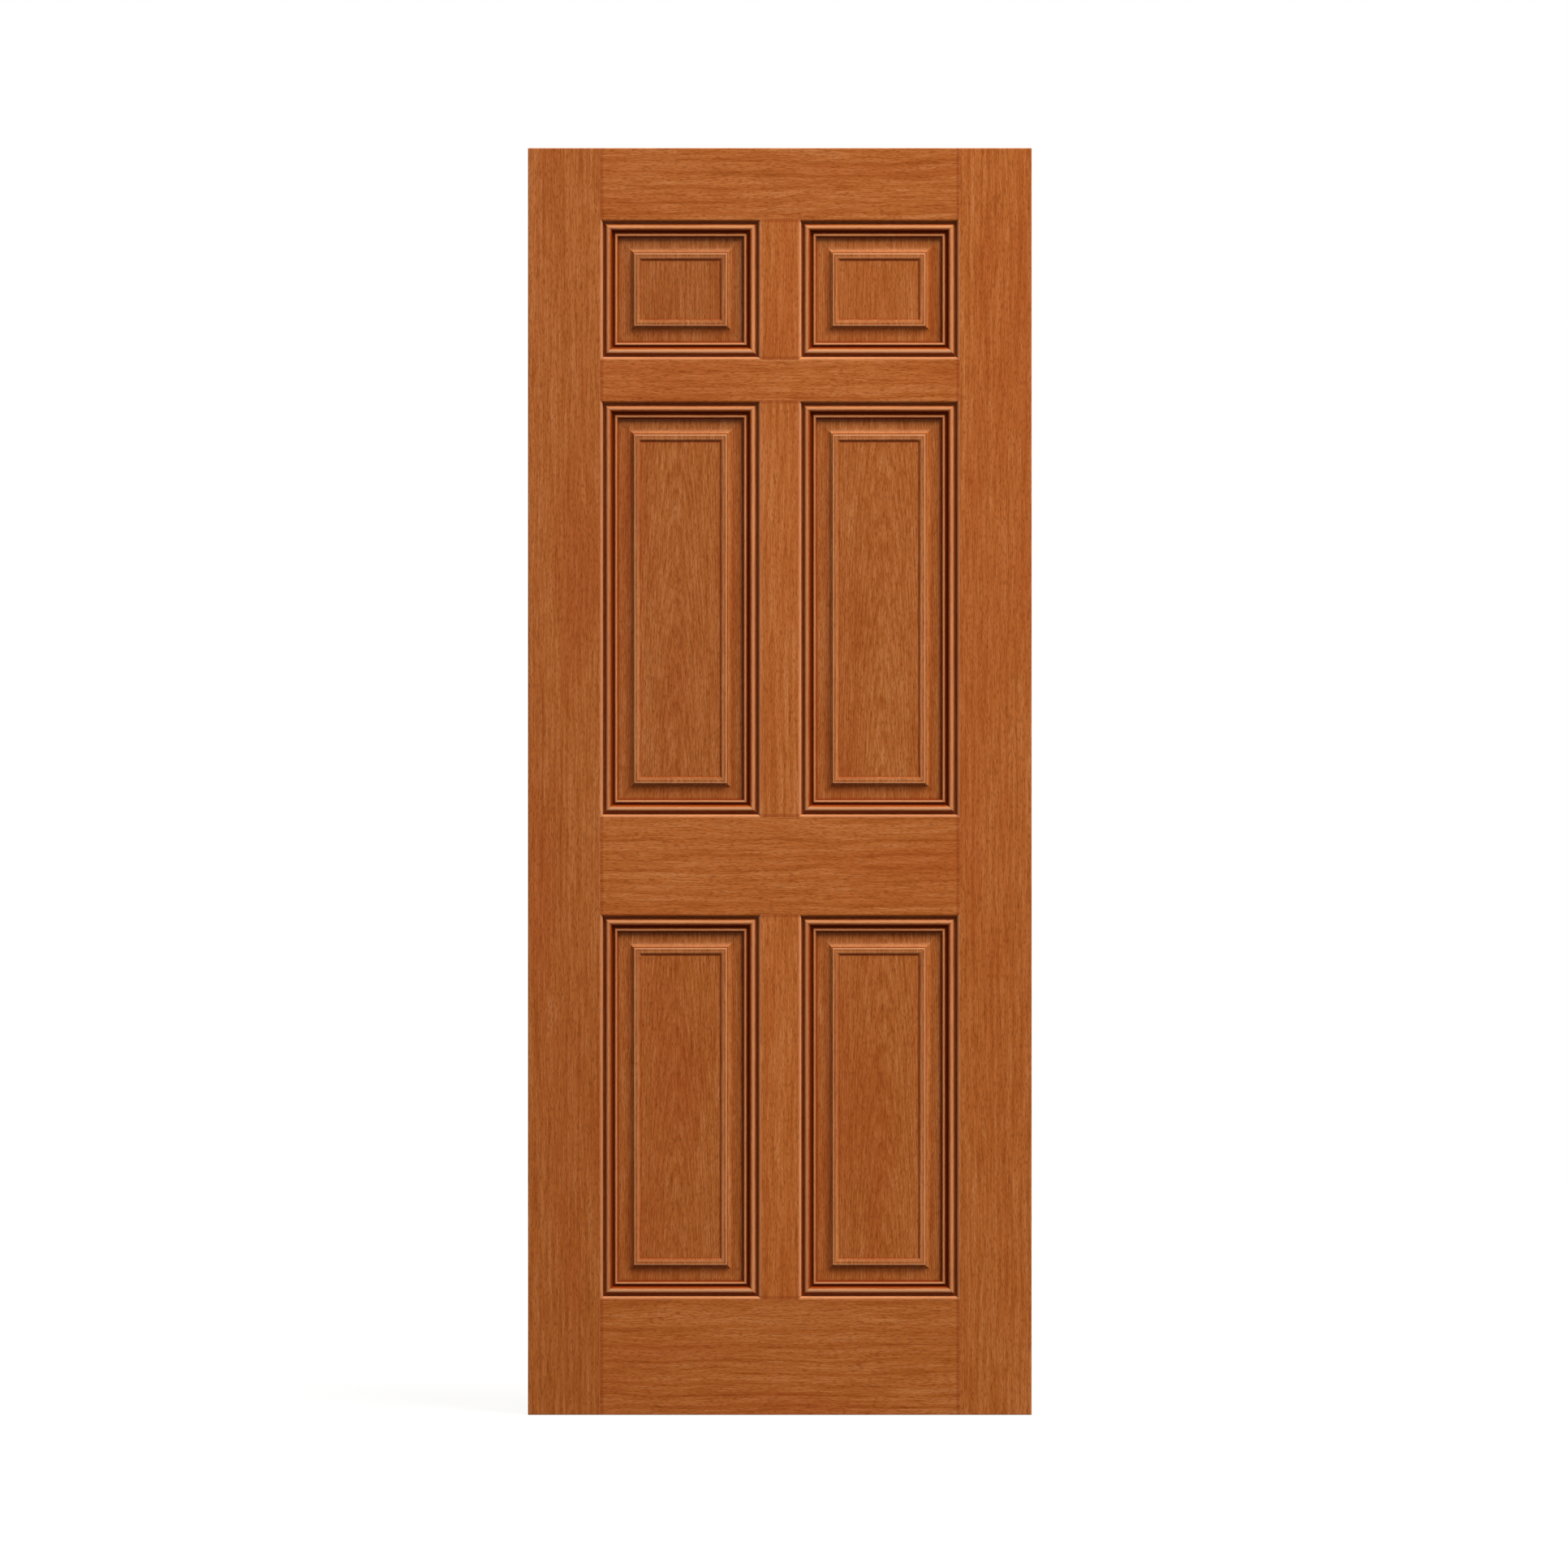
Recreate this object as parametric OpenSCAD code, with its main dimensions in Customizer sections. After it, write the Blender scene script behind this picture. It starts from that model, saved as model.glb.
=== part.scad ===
// Six-panel exterior door leaf of solid timber: stiles, rails and mullions that are coped,
// tongued and dowelled together, raised panels with a sunk field, and planted bead mouldings.
// X runs across the leaf, Y through it with the front face towards -Y, and Z up.
// The origin is at the middle of the bottom edge.

/* [Leaf] */
// Width of the leaf
leaf_w = 808; // [760:1:915]
// Height of the leaf
leaf_h = 2032; // [1980:1:2135]
// Thickness of the leaf
leaf_t = 44.5; // [42:0.5:57]
// Radius of the eased outer edges
edge_r = 1.5; // [0.5:0.5:3]

/* [Stiles, rails and mullions] */
// Width of each stile
stile_w = 120; // [105:1:140]
// Width of each mullion
mullion_w = 69; // [60:1:90]
// Height of the top rail
top_rail_h = 118; // [100:1:140]
// Height of the frieze rail, under the top panels
frieze_rail_h = 74; // [70:1:110]
// Height of the lock rail
lock_rail_h = 164; // [130:1:200]
// Height of the bottom rail
bottom_rail_h = 190; // [150:1:260]
// Radius of the rounded edges that border the panel openings
arris_r = 4.5; // [2:0.5:6]

/* [Panel openings] */
// Height of the top openings
top_opening_h = 217; // [180:1:260]
// Height of the bottom openings
bottom_opening_h = 609; // [540:1:680]
// Depth from the leaf's face to the flat margin of a panel
margin_depth = 13; // [12:0.5:14]

/* [Moulding] */
// Width of the quirk beside the opening's edge
quirk_w = 3.5; // [2:0.5:5]
// Depth of the quirk's floor under the leaf's face
quirk_depth = 8.5; // [7:0.5:10]
// Radius of the large bead
bead_r = 6; // [5:0.25:6.5]
// Depth of the large bead's crest under the leaf's face
bead_set = 1.5; // [0.5:0.25:2.5]
// Width of the hollow between the two beads
hollow_w = 2.5; // [1.5:0.5:4]
// Radius of the small inner bead
lip_r = 3.2; // [2:0.1:3.5]
// Height of the small bead's crest over the panel's margin
lip_h = 6.8; // [6:0.1:8]
// Gap between a moulding's back and the panel, which leaves the panel free to move
moulding_gap = 0.2; // [0.1:0.05:0.5]
// Gap at each mitre
mitre_gap = 0.1; // [0.05:0.05:0.3]

/* [Raised panels] */
// Width of the flat margin between the moulding and the cove
margin_w = 15.6; // [8:0.1:24]
// Radius of the cove that rises from the margin
cove_r = 10.5; // [9:0.1:14]
// Width of the cove
cove_w = 8.4; // [6:0.1:9]
// Width of the ledge at the top of the cove
ledge_w = 1.6; // [0.8:0.1:3]
// Height of the square step from the ledge to the rim
rim_step = 2; // [1:0.1:2.5]
// Width of the rim around the sunk field
rim_w = 4.6; // [3:0.1:10]
// Radius of the eased edge of the rim
rim_ease = 0.6; // [0.2:0.1:0.9]
// Width of the ovolo that rounds down from the rim to the sunk field
ovolo_w = 6; // [4:0.1:8]
// Drop of the ovolo
ovolo_drop = 1.9; // [1:0.1:3]
// Height of the small square quirk at the ovolo's foot
field_quirk = 0.7; // [0.3:0.1:1.2]

/* [Joinery] */
// Depth of the plough groove that holds the panels and the stub tongues
groove_d = 12; // [9:0.5:14]
// Room between a panel's edge and the floor of its groove
panel_room = 2; // [1:0.5:4]
// Room between a stub tongue and the floor of its groove
tongue_room = 1; // [0.5:0.5:2]
// Gap on each side of a tongue in its groove
groove_gap = 0.2; // [0.1:0.05:0.4]
// Diameter of the rail dowels
rail_dowel_d = 16; // [12:1:16]
// Length of the rail dowels
rail_dowel_l = 120; // [80:5:150]
// Diameter of the mullion dowels
mullion_dowel_d = 12; // [8:1:14]
// Length of the mullion dowels
mullion_dowel_l = 56; // [40:2:60]
// Chamfer at the ends of each dowel
dowel_chamfer = 1.5; // [0.5:0.5:2.5]
// Glue gap around each dowel
dowel_gap = 0.1; // [0.05:0.05:0.2]
// Glue pocket past each end of a dowel
dowel_pocket = 1.5; // [0.5:0.5:3]
// Dowels in each end of the top and frieze rails and of the mullions
light_dowels = 2; // [1:1:2]
// Dowels in each end of the lock and bottom rails
heavy_dowels = 3; // [2:1:4]

/* [Hidden] */
$fn = 48;
cut = 1;

// Places of the members
opening_w = (leaf_w - 2 * stile_w - mullion_w) / 2;
opening_x = (opening_w + mullion_w) / 2;
stile_edge_x = leaf_w / 2 - stile_w;
bottom_opening_z = bottom_rail_h;
lock_rail_z = bottom_opening_z + bottom_opening_h;
middle_opening_z = lock_rail_z + lock_rail_h;
top_rail_z = leaf_h - top_rail_h;
top_opening_z = top_rail_z - top_opening_h;
frieze_rail_z = top_opening_z - frieze_rail_h;
middle_opening_h = frieze_rail_z - middle_opening_z;

// Thickness of the panels' and rails' tongues, and of the groove that takes them
tongue_t = leaf_t - 2 * margin_depth;
groove_w = tongue_t + 2 * groove_gap;
panel_tongue = groove_d - panel_room;
stub_tongue = groove_d - tongue_room;

// Levels of the moulding, up from its back, and its width
moulding_top = margin_depth - moulding_gap;
quirk_floor = moulding_top - quirk_depth;
bead_centre = moulding_top - bead_set - bead_r;
lip_centre = lip_h - moulding_gap - lip_r;
bead_x = quirk_w + bead_r;
hollow_x = quirk_w + 2 * bead_r + hollow_w / 2;
moulding_w = hollow_x + hollow_w / 2 + 2 * lip_r;

// Heights of the panel's relief over its margin, and its insets from the opening's edge
cove_rise = cove_r - sqrt(cove_r * cove_r - cove_w * cove_w);
rim_h = cove_rise + rim_step;
cove_inset = moulding_w + margin_w;
rim_inset = cove_inset + cove_w + ledge_w;
ovolo_inset = rim_inset + rim_w;
ovolo_r = (ovolo_w * ovolo_w + ovolo_drop * ovolo_drop) / (2 * ovolo_drop);
field_sink = ovolo_drop + field_quirk;

ROWS = ["top", "middle", "bottom"];
SIDES = ["left", "right"];
FACES = ["front", "back"];
RAILS = ["top", "frieze", "lock", "bottom"];

stile_colour = "#a05828";
rail_colour = "#aa6030";
mullion_colour = "#ac6130";
panel_colour = "#9f5527";
moulding_colour = "#8f4c22";
dowel_colour = "#c9a26a";

// Foot and height of each row of openings
function row_z(row) =
    row == "top" ? top_opening_z : row == "middle" ? middle_opening_z : bottom_opening_z;
function row_h(row) =
    row == "top" ? top_opening_h : row == "middle" ? middle_opening_h : bottom_opening_h;
function side_sign(side) = side == "left" ? -1 : 1;

// Foot and height of each rail, and whether an opening lies under and over it
function rail_z(rail) =
    rail == "top" ? top_rail_z : rail == "frieze" ? frieze_rail_z : rail == "lock" ? lock_rail_z : 0;
function rail_h(rail) =
    rail == "top" ? top_rail_h : rail == "frieze" ? frieze_rail_h
    : rail == "lock" ? lock_rail_h : bottom_rail_h;
function open_under(rail) = rail != "bottom";
function open_over(rail) = rail != "top";
function rail_dowels_per_end(rail) =
    rail == "lock" || rail == "bottom" ? heavy_dowels : light_dowels;

// Lower and upper limit of a rail's wood between its plough grooves
function rail_core(rail) = [
    rail_z(rail) + (open_under(rail) ? groove_d : 0),
    rail_z(rail) + rail_h(rail) - (open_over(rail) ? groove_d : 0)
];

// Even places for a number of dowels between two limits
function spread(limits, count) =
    [for (i = [0 : count - 1]) limits[0] + (limits[1] - limits[0]) * (i + 0.5) / count];

// Waste at a square corner at the origin that leaves it rounded, with the wood towards +u and +v
module corner_waste(radius) {
    difference() {
        translate([-cut, -cut]) square(radius + cut);
        translate([radius, radius]) circle(radius);
    }
}

// Section of a board: its width along u, the leaf's thickness along v, with one radius
// on the two corners at the low edge and another on the two at the high edge
module board_section(low, high, low_r, high_r) {
    difference() {
        translate([low, -leaf_t / 2]) square([high - low, leaf_t]);
        for (face = [0, 1]) mirror([0, face]) {
            translate([low, -leaf_t / 2]) corner_waste(low_r);
            translate([high, -leaf_t / 2]) mirror([1, 0]) corner_waste(high_r);
        }
    }
}

// Lays a section drawn in (z, y) along X, centred on the leaf
module along_x(length) {
    rotate([0, -90, 0]) linear_extrude(height = length, center = true) children();
}

// The leaf's outer form, with eased edges at its head and foot
module leaf_form() {
    along_x(leaf_w + 2 * cut) board_section(0, leaf_h, edge_r, edge_r);
}

// Boards before they are ploughed and bored, which also cut the copes that fit them
module stile_blank(side) {
    mirror([side == "left" ? 0 : 1, 0, 0])
        linear_extrude(height = leaf_h)
            board_section(-leaf_w / 2, -stile_edge_x, edge_r, arris_r);
}

module rail_blank(rail) {
    along_x(2 * (stile_edge_x + arris_r)) board_section(
        rail_z(rail), rail_z(rail) + rail_h(rail),
        open_under(rail) ? arris_r : edge_r, open_over(rail) ? arris_r : edge_r);
}

module mullion_blank(row) {
    translate([0, 0, row_z(row) - arris_r])
        linear_extrude(height = row_h(row) + 2 * arris_r)
            board_section(-mullion_w / 2, mullion_w / 2, arris_r, arris_r);
}

// Plough groove along a rail's edge at the height z, into the wood by groove_d
module rail_groove(z, up) {
    length = 2 * (stile_edge_x + stub_tongue + cut);
    translate([-length / 2, -groove_w / 2, up ? z - cut : z - groove_d])
        cube([length, groove_w, groove_d + cut]);
}

// Plough groove along an upright edge at x, into the wood by groove_d
module upright_groove(x, sign) {
    x0 = sign > 0 ? x - cut : x - groove_d;
    translate([x0, -groove_w / 2, -cut]) cube([groove_d + cut, groove_w, leaf_h + 2 * cut]);
}

// A dowel with chamfered ends, centred, along Z
module dowel(diameter, length) {
    r = diameter / 2;
    rotate_extrude() polygon([
        [0, -length / 2], [r - dowel_chamfer, -length / 2], [r, -length / 2 + dowel_chamfer],
        [r, length / 2 - dowel_chamfer], [r - dowel_chamfer, length / 2], [0, length / 2]]);
}

// The blind hole of a dowel, through both boards that it joins
module dowel_hole(diameter, length) {
    cylinder(d = diameter + 2 * dowel_gap, h = length + 2 * dowel_pocket, center = true);
}

// Puts a dowel or its hole at each place where a rail meets the stiles
module at_rail_dowels(rail) {
    for (x = [-stile_edge_x, stile_edge_x], z = spread(rail_core(rail), rail_dowels_per_end(rail)))
        translate([x, 0, z]) rotate([0, 90, 0]) children();
}

// Puts a dowel or its hole at each place where a mullion meets the rails
module at_mullion_dowels(row) {
    core = mullion_w / 2 - groove_d;
    for (x = spread([-core, core], light_dowels), z = [row_z(row), row_z(row) + row_h(row)])
        translate([x, 0, z]) children();
}

module rail_dowel_holes(rail) {
    at_rail_dowels(rail) dowel_hole(rail_dowel_d, rail_dowel_l);
}

module mullion_dowel_holes(row) {
    at_mullion_dowels(row) dowel_hole(mullion_dowel_d, mullion_dowel_l);
}

module stile(side) {
    sign = side_sign(side);
    color(stile_colour) difference() {
        intersection() {
            stile_blank(side);
            leaf_form();
        }
        upright_groove(sign * stile_edge_x, sign);
        for (rail = RAILS) rail_dowel_holes(rail);
    }
}

// A rail is coped over the stiles' rounded edges and has a stub tongue in each stile's groove
module rail(rail) {
    z0 = rail_z(rail);
    core = rail_core(rail);
    tongue_l = 2 * (stile_edge_x + stub_tongue);
    color(rail_colour) difference() {
        intersection() {
            union() {
                difference() {
                    rail_blank(rail);
                    for (side = SIDES) stile_blank(side);
                }
                translate([-tongue_l / 2, -tongue_t / 2, core[0]])
                    cube([tongue_l, tongue_t, core[1] - core[0]]);
            }
            leaf_form();
        }
        if (open_under(rail)) rail_groove(z0, true);
        if (open_over(rail)) rail_groove(z0 + rail_h(rail), false);
        rail_dowel_holes(rail);
        for (row = ROWS) mullion_dowel_holes(row);
    }
}

// A mullion is coped over the rails' rounded edges and has a stub tongue in each rail's groove
module mullion(row) {
    z0 = row_z(row);
    h = row_h(row);
    tongue_w = mullion_w - 2 * groove_d;
    color(mullion_colour) difference() {
        union() {
            difference() {
                mullion_blank(row);
                for (rail = RAILS) rail_blank(rail);
            }
            translate([-tongue_w / 2, -tongue_t / 2, z0 - stub_tongue])
                cube([tongue_w, tongue_t, h + 2 * stub_tongue]);
        }
        upright_groove(-mullion_w / 2, 1);
        upright_groove(mullion_w / 2, -1);
        mullion_dowel_holes(row);
    }
}

// Quarter of a panel's section: u in from the middle to the tongue's edge, v out to the face
module panel_quarter(half) {
    cove_u = half - panel_tongue - cove_inset;
    rim_u = half - panel_tongue - rim_inset;
    margin_v = tongue_t / 2;
    difference() {
        union() {
            square([half, margin_v]);
            square([cove_u, margin_v + cove_rise]);
        }
        translate([cove_u, margin_v + cove_r]) circle(cove_r);
    }
    difference() {
        square([rim_u, margin_v + rim_h]);
        translate([rim_u, margin_v + rim_h]) rotate(180) corner_waste(rim_ease);
    }
}

// Section of a panel of one size, the same on both sides and both faces
module panel_section(size) {
    for (side = [0, 1], face = [0, 1])
        mirror([side, 0]) mirror([0, face]) panel_quarter(size / 2);
}

// Half of the sunk field's section on the face towards +v, over its ovolo
module field_half(half) {
    rim_v = tongue_t / 2 + rim_h;
    floor_v = rim_v - field_sink;
    translate([0, floor_v]) square([half - ovolo_w, field_sink + cut]);
    difference() {
        translate([0, floor_v]) square([half, field_sink + cut]);
        translate([half, rim_v - ovolo_r]) circle(ovolo_r);
    }
}

// Section of a sunk field of one size on the front face
module field_section(size) {
    for (side = [0, 1]) mirror([side, 0]) mirror([0, 1]) field_half(size / 2);
}

// The sunk field on the front face, with its ovolo mitred at the corners
module sunk_field(width, height) {
    intersection() {
        linear_extrude(height = height, center = true) field_section(width);
        along_x(width) field_section(height);
    }
}

module panel(row, side) {
    w = opening_w + 2 * panel_tongue;
    h = row_h(row) + 2 * panel_tongue;
    field_w = opening_w - 2 * ovolo_inset;
    field_h = row_h(row) - 2 * ovolo_inset;
    color(panel_colour)
        translate([side_sign(side) * opening_x, 0, row_z(row) + row_h(row) / 2])
            difference() {
                intersection() {
                    linear_extrude(height = h, center = true) panel_section(w);
                    along_x(w) panel_section(h);
                }
                for (turn = [0, 1]) mirror([0, turn, 0]) sunk_field(field_w, field_h);
            }
}

// Section of the moulding: u in from the opening's edge, v up from its back
module moulding_section() {
    intersection() {
        square([moulding_w, moulding_top]);
        difference() {
            union() {
                square([quirk_w, quirk_floor]);
                translate([quirk_w, 0]) square([2 * bead_r, bead_centre]);
                translate([bead_x, bead_centre]) circle(bead_r);
                translate([bead_x, 0]) square([moulding_w - bead_x, lip_centre]);
                translate([moulding_w - lip_r, lip_centre]) circle(lip_r);
            }
            translate([hollow_x, lip_centre]) circle(hollow_w / 2);
        }
    }
}

// One strip along Z, with its back at y = 0, its face towards +Y and both ends mitred
module moulding_strip(length) {
    inner = length - moulding_w - mitre_gap;
    intersection() {
        linear_extrude(height = length) moulding_section();
        translate([0, moulding_top + cut, 0]) rotate([90, 0, 0])
            linear_extrude(height = moulding_top + 2 * cut)
                polygon([[0, mitre_gap], [0, length - mitre_gap],
                    [moulding_w, inner], [moulding_w, moulding_w + mitre_gap]]);
    }
}

// Four mitred strips around an opening, on one face
module moulding(row, side, face) {
    w = opening_w;
    h = row_h(row);
    color(moulding_colour)
        translate([side_sign(side) * opening_x, 0, row_z(row) + h / 2])
            mirror([0, face == "front" ? 1 : 0, 0])
                translate([0, tongue_t / 2 + moulding_gap, 0])
                    for (turn = [0, 1]) {
                        mirror([turn, 0, 0]) translate([-w / 2, 0, -h / 2]) moulding_strip(h);
                        mirror([0, 0, turn]) translate([-w / 2, 0, h / 2]) rotate([0, 90, 0])
                            moulding_strip(w);
                    }
}

module rail_dowels(rail) {
    color(dowel_colour) at_rail_dowels(rail) dowel(rail_dowel_d, rail_dowel_l);
}

module mullion_dowels(row) {
    color(dowel_colour) at_mullion_dowels(row) dowel(mullion_dowel_d, mullion_dowel_l);
}

for (side = SIDES)
    stile(side);
for (rail = RAILS)
    rail(rail);
for (row = ROWS)
    mullion(row);
for (row = ROWS, side = SIDES)
    panel(row, side);
for (row = ROWS, side = SIDES, face = FACES)
    moulding(row, side, face);
for (rail = RAILS)
    rail_dowels(rail);
for (row = ROWS)
    mullion_dowels(row);
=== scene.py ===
"""Looks of a six-panel timber door leaf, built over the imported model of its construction."""

import logging
import math
from dataclasses import dataclass, field
from enum import Enum
from itertools import product
from typing import Any, Iterable, Sequence

import bmesh
import bpy
from mathutils import Euler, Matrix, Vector


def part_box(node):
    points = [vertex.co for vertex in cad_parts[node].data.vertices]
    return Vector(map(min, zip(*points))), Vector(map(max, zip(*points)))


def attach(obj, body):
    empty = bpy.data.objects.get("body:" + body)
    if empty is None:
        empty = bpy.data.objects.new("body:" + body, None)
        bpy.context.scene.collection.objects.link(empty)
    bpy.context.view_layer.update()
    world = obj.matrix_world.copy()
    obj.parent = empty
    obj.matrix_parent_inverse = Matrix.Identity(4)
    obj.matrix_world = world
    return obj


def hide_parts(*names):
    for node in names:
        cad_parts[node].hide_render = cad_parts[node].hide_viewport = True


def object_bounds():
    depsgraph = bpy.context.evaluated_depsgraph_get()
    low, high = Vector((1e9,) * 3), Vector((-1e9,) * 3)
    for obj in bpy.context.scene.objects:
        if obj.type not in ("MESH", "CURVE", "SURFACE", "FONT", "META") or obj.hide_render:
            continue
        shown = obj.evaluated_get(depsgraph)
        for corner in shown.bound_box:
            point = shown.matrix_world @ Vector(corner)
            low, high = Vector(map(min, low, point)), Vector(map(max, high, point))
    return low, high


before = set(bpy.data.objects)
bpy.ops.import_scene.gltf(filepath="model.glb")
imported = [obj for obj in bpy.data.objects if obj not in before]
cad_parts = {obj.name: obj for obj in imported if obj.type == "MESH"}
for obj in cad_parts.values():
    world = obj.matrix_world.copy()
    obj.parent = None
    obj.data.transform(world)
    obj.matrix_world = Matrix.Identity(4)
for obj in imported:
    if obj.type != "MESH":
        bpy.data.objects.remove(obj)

CAD_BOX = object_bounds()
LOG = logging.getLogger("door_leaf")

MM = 0.001
# Name of the per-point depth of stain, which also carries painted shade and painted highlights.
STAIN_AND_LIGHT_ATTRIBUTE = "stain_depth"

ROWS = ("top", "middle", "bottom")
SIDES = ("left", "right")
RAILS = ("top", "frieze", "lock", "bottom")
PANEL_LOGS = 20  # numbers of the first logs for the panels and for the mouldings
MOULDING_LOGS = 40

WHITE = "#ffffff"
MOULDING_CREASE = 35.0  # turns in degrees above which an edge stays sharp
PANEL_CREASE = 28.0

Point2 = tuple[float, float]
Point3 = tuple[float, float, float]
Colour = tuple[float, float, float, float]
Box = tuple[Vector, Vector]
Tree = bpy.types.NodeTree
Socket = bpy.types.NodeSocket


class Grain(Enum):
    """The way that a board's fibres run on the leaf."""

    UPRIGHT = "upright"
    ACROSS = "across"


class Face(Enum):
    """A face of the leaf, with the way along Y that it looks."""

    FRONT = -1.0
    BACK = 1.0

    @property
    def label(self) -> str:
        """The face's name in the model's node names."""
        return self.name.lower()


def linear(hex_colour: str, tone: float = 1.0) -> Colour:
    """Turns an sRGB hex colour to linear light.

    Args:
        hex_colour: The colour as "#rrggbb".
        tone: A factor on its linear light, for a board that is lighter or darker than its fellows.

    Returns:
        The linear colour with an alpha of 1.
    """
    channels = [int(hex_colour[i : i + 2], 16) / 255 for i in (1, 3, 5)]
    light = [c / 12.92 if c <= 0.04045 else ((c + 0.055) / 1.055) ** 2.4 for c in channels]
    return (light[0] * tone, light[1] * tone, light[2] * tone, 1.0)


def add_node(
    tree: Tree,
    kind: str,
    inputs: dict[str | int, Any] | None = None,
    **settings: Any,
) -> bpy.types.Node:
    """Adds a shader node with its settings and links.

    Args:
        tree: The node tree that takes the node.
        kind: The node's type, without Blender's ShaderNode prefix.
        inputs: A value or an output socket for each input, by name or index.
        settings: Properties of the node itself.

    Returns:
        The new node.
    """
    node = tree.nodes.new("ShaderNode" + kind)
    for name, value in settings.items():
        setattr(node, name, value)
    for key, value in (inputs or {}).items():
        if isinstance(value, Socket):
            tree.links.new(value, node.inputs[key])
        else:
            node.inputs[key].default_value = value
    return node


def new_material(name: str) -> tuple[bpy.types.Material, Tree]:
    """Makes a material that holds no nodes yet.

    Args:
        name: The material's name.

    Returns:
        The material and its node tree.
    """
    material = bpy.data.materials.new(name)
    material.use_nodes = True
    material.node_tree.nodes.clear()
    return material, material.node_tree


def arc(centre: Point2, radius: float, start: float, end: float, steps: int) -> list[Point2]:
    """Points of a circular arc.

    Args:
        centre: The arc's centre.
        radius: The arc's radius.
        start: The angle of the first point, in degrees.
        end: The angle of the last point, in degrees.
        steps: The number of chords.

    Returns:
        The points, both ends included.
    """
    turns = [math.radians(start + (end - start) * i / steps) for i in range(steps + 1)]
    return [(centre[0] + radius * math.cos(a), centre[1] + radius * math.sin(a)) for a in turns]


@dataclass(frozen=True)
class LogCut:
    """Where in its log a board was sawn, which sets the figure on its face.

    Attributes:
        grain: The way that the fibres run.
        pith_depth: Distance from the board's middle plane back to the log's pith, in mm.
        pith_shift: Distance of the pith from the middle of the board's width, in mm.
        lean: Lean of the fibres out of the face, in degrees, which draws arches on it.
        seed: Number of the log, which gives each board its own figure.
        tone: Lightness of the board against its fellows.
        figure: How strongly the growth rings show.
        ring_mm: Width of a growth ring.
        wander_mm: How far the fibres wander sideways.
    """

    grain: Grain
    pith_depth: float
    pith_shift: float
    lean: float
    seed: int
    tone: float = 1.0
    figure: float = 0.14
    ring_mm: float = 9.0
    wander_mm: float = 5.0


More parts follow.
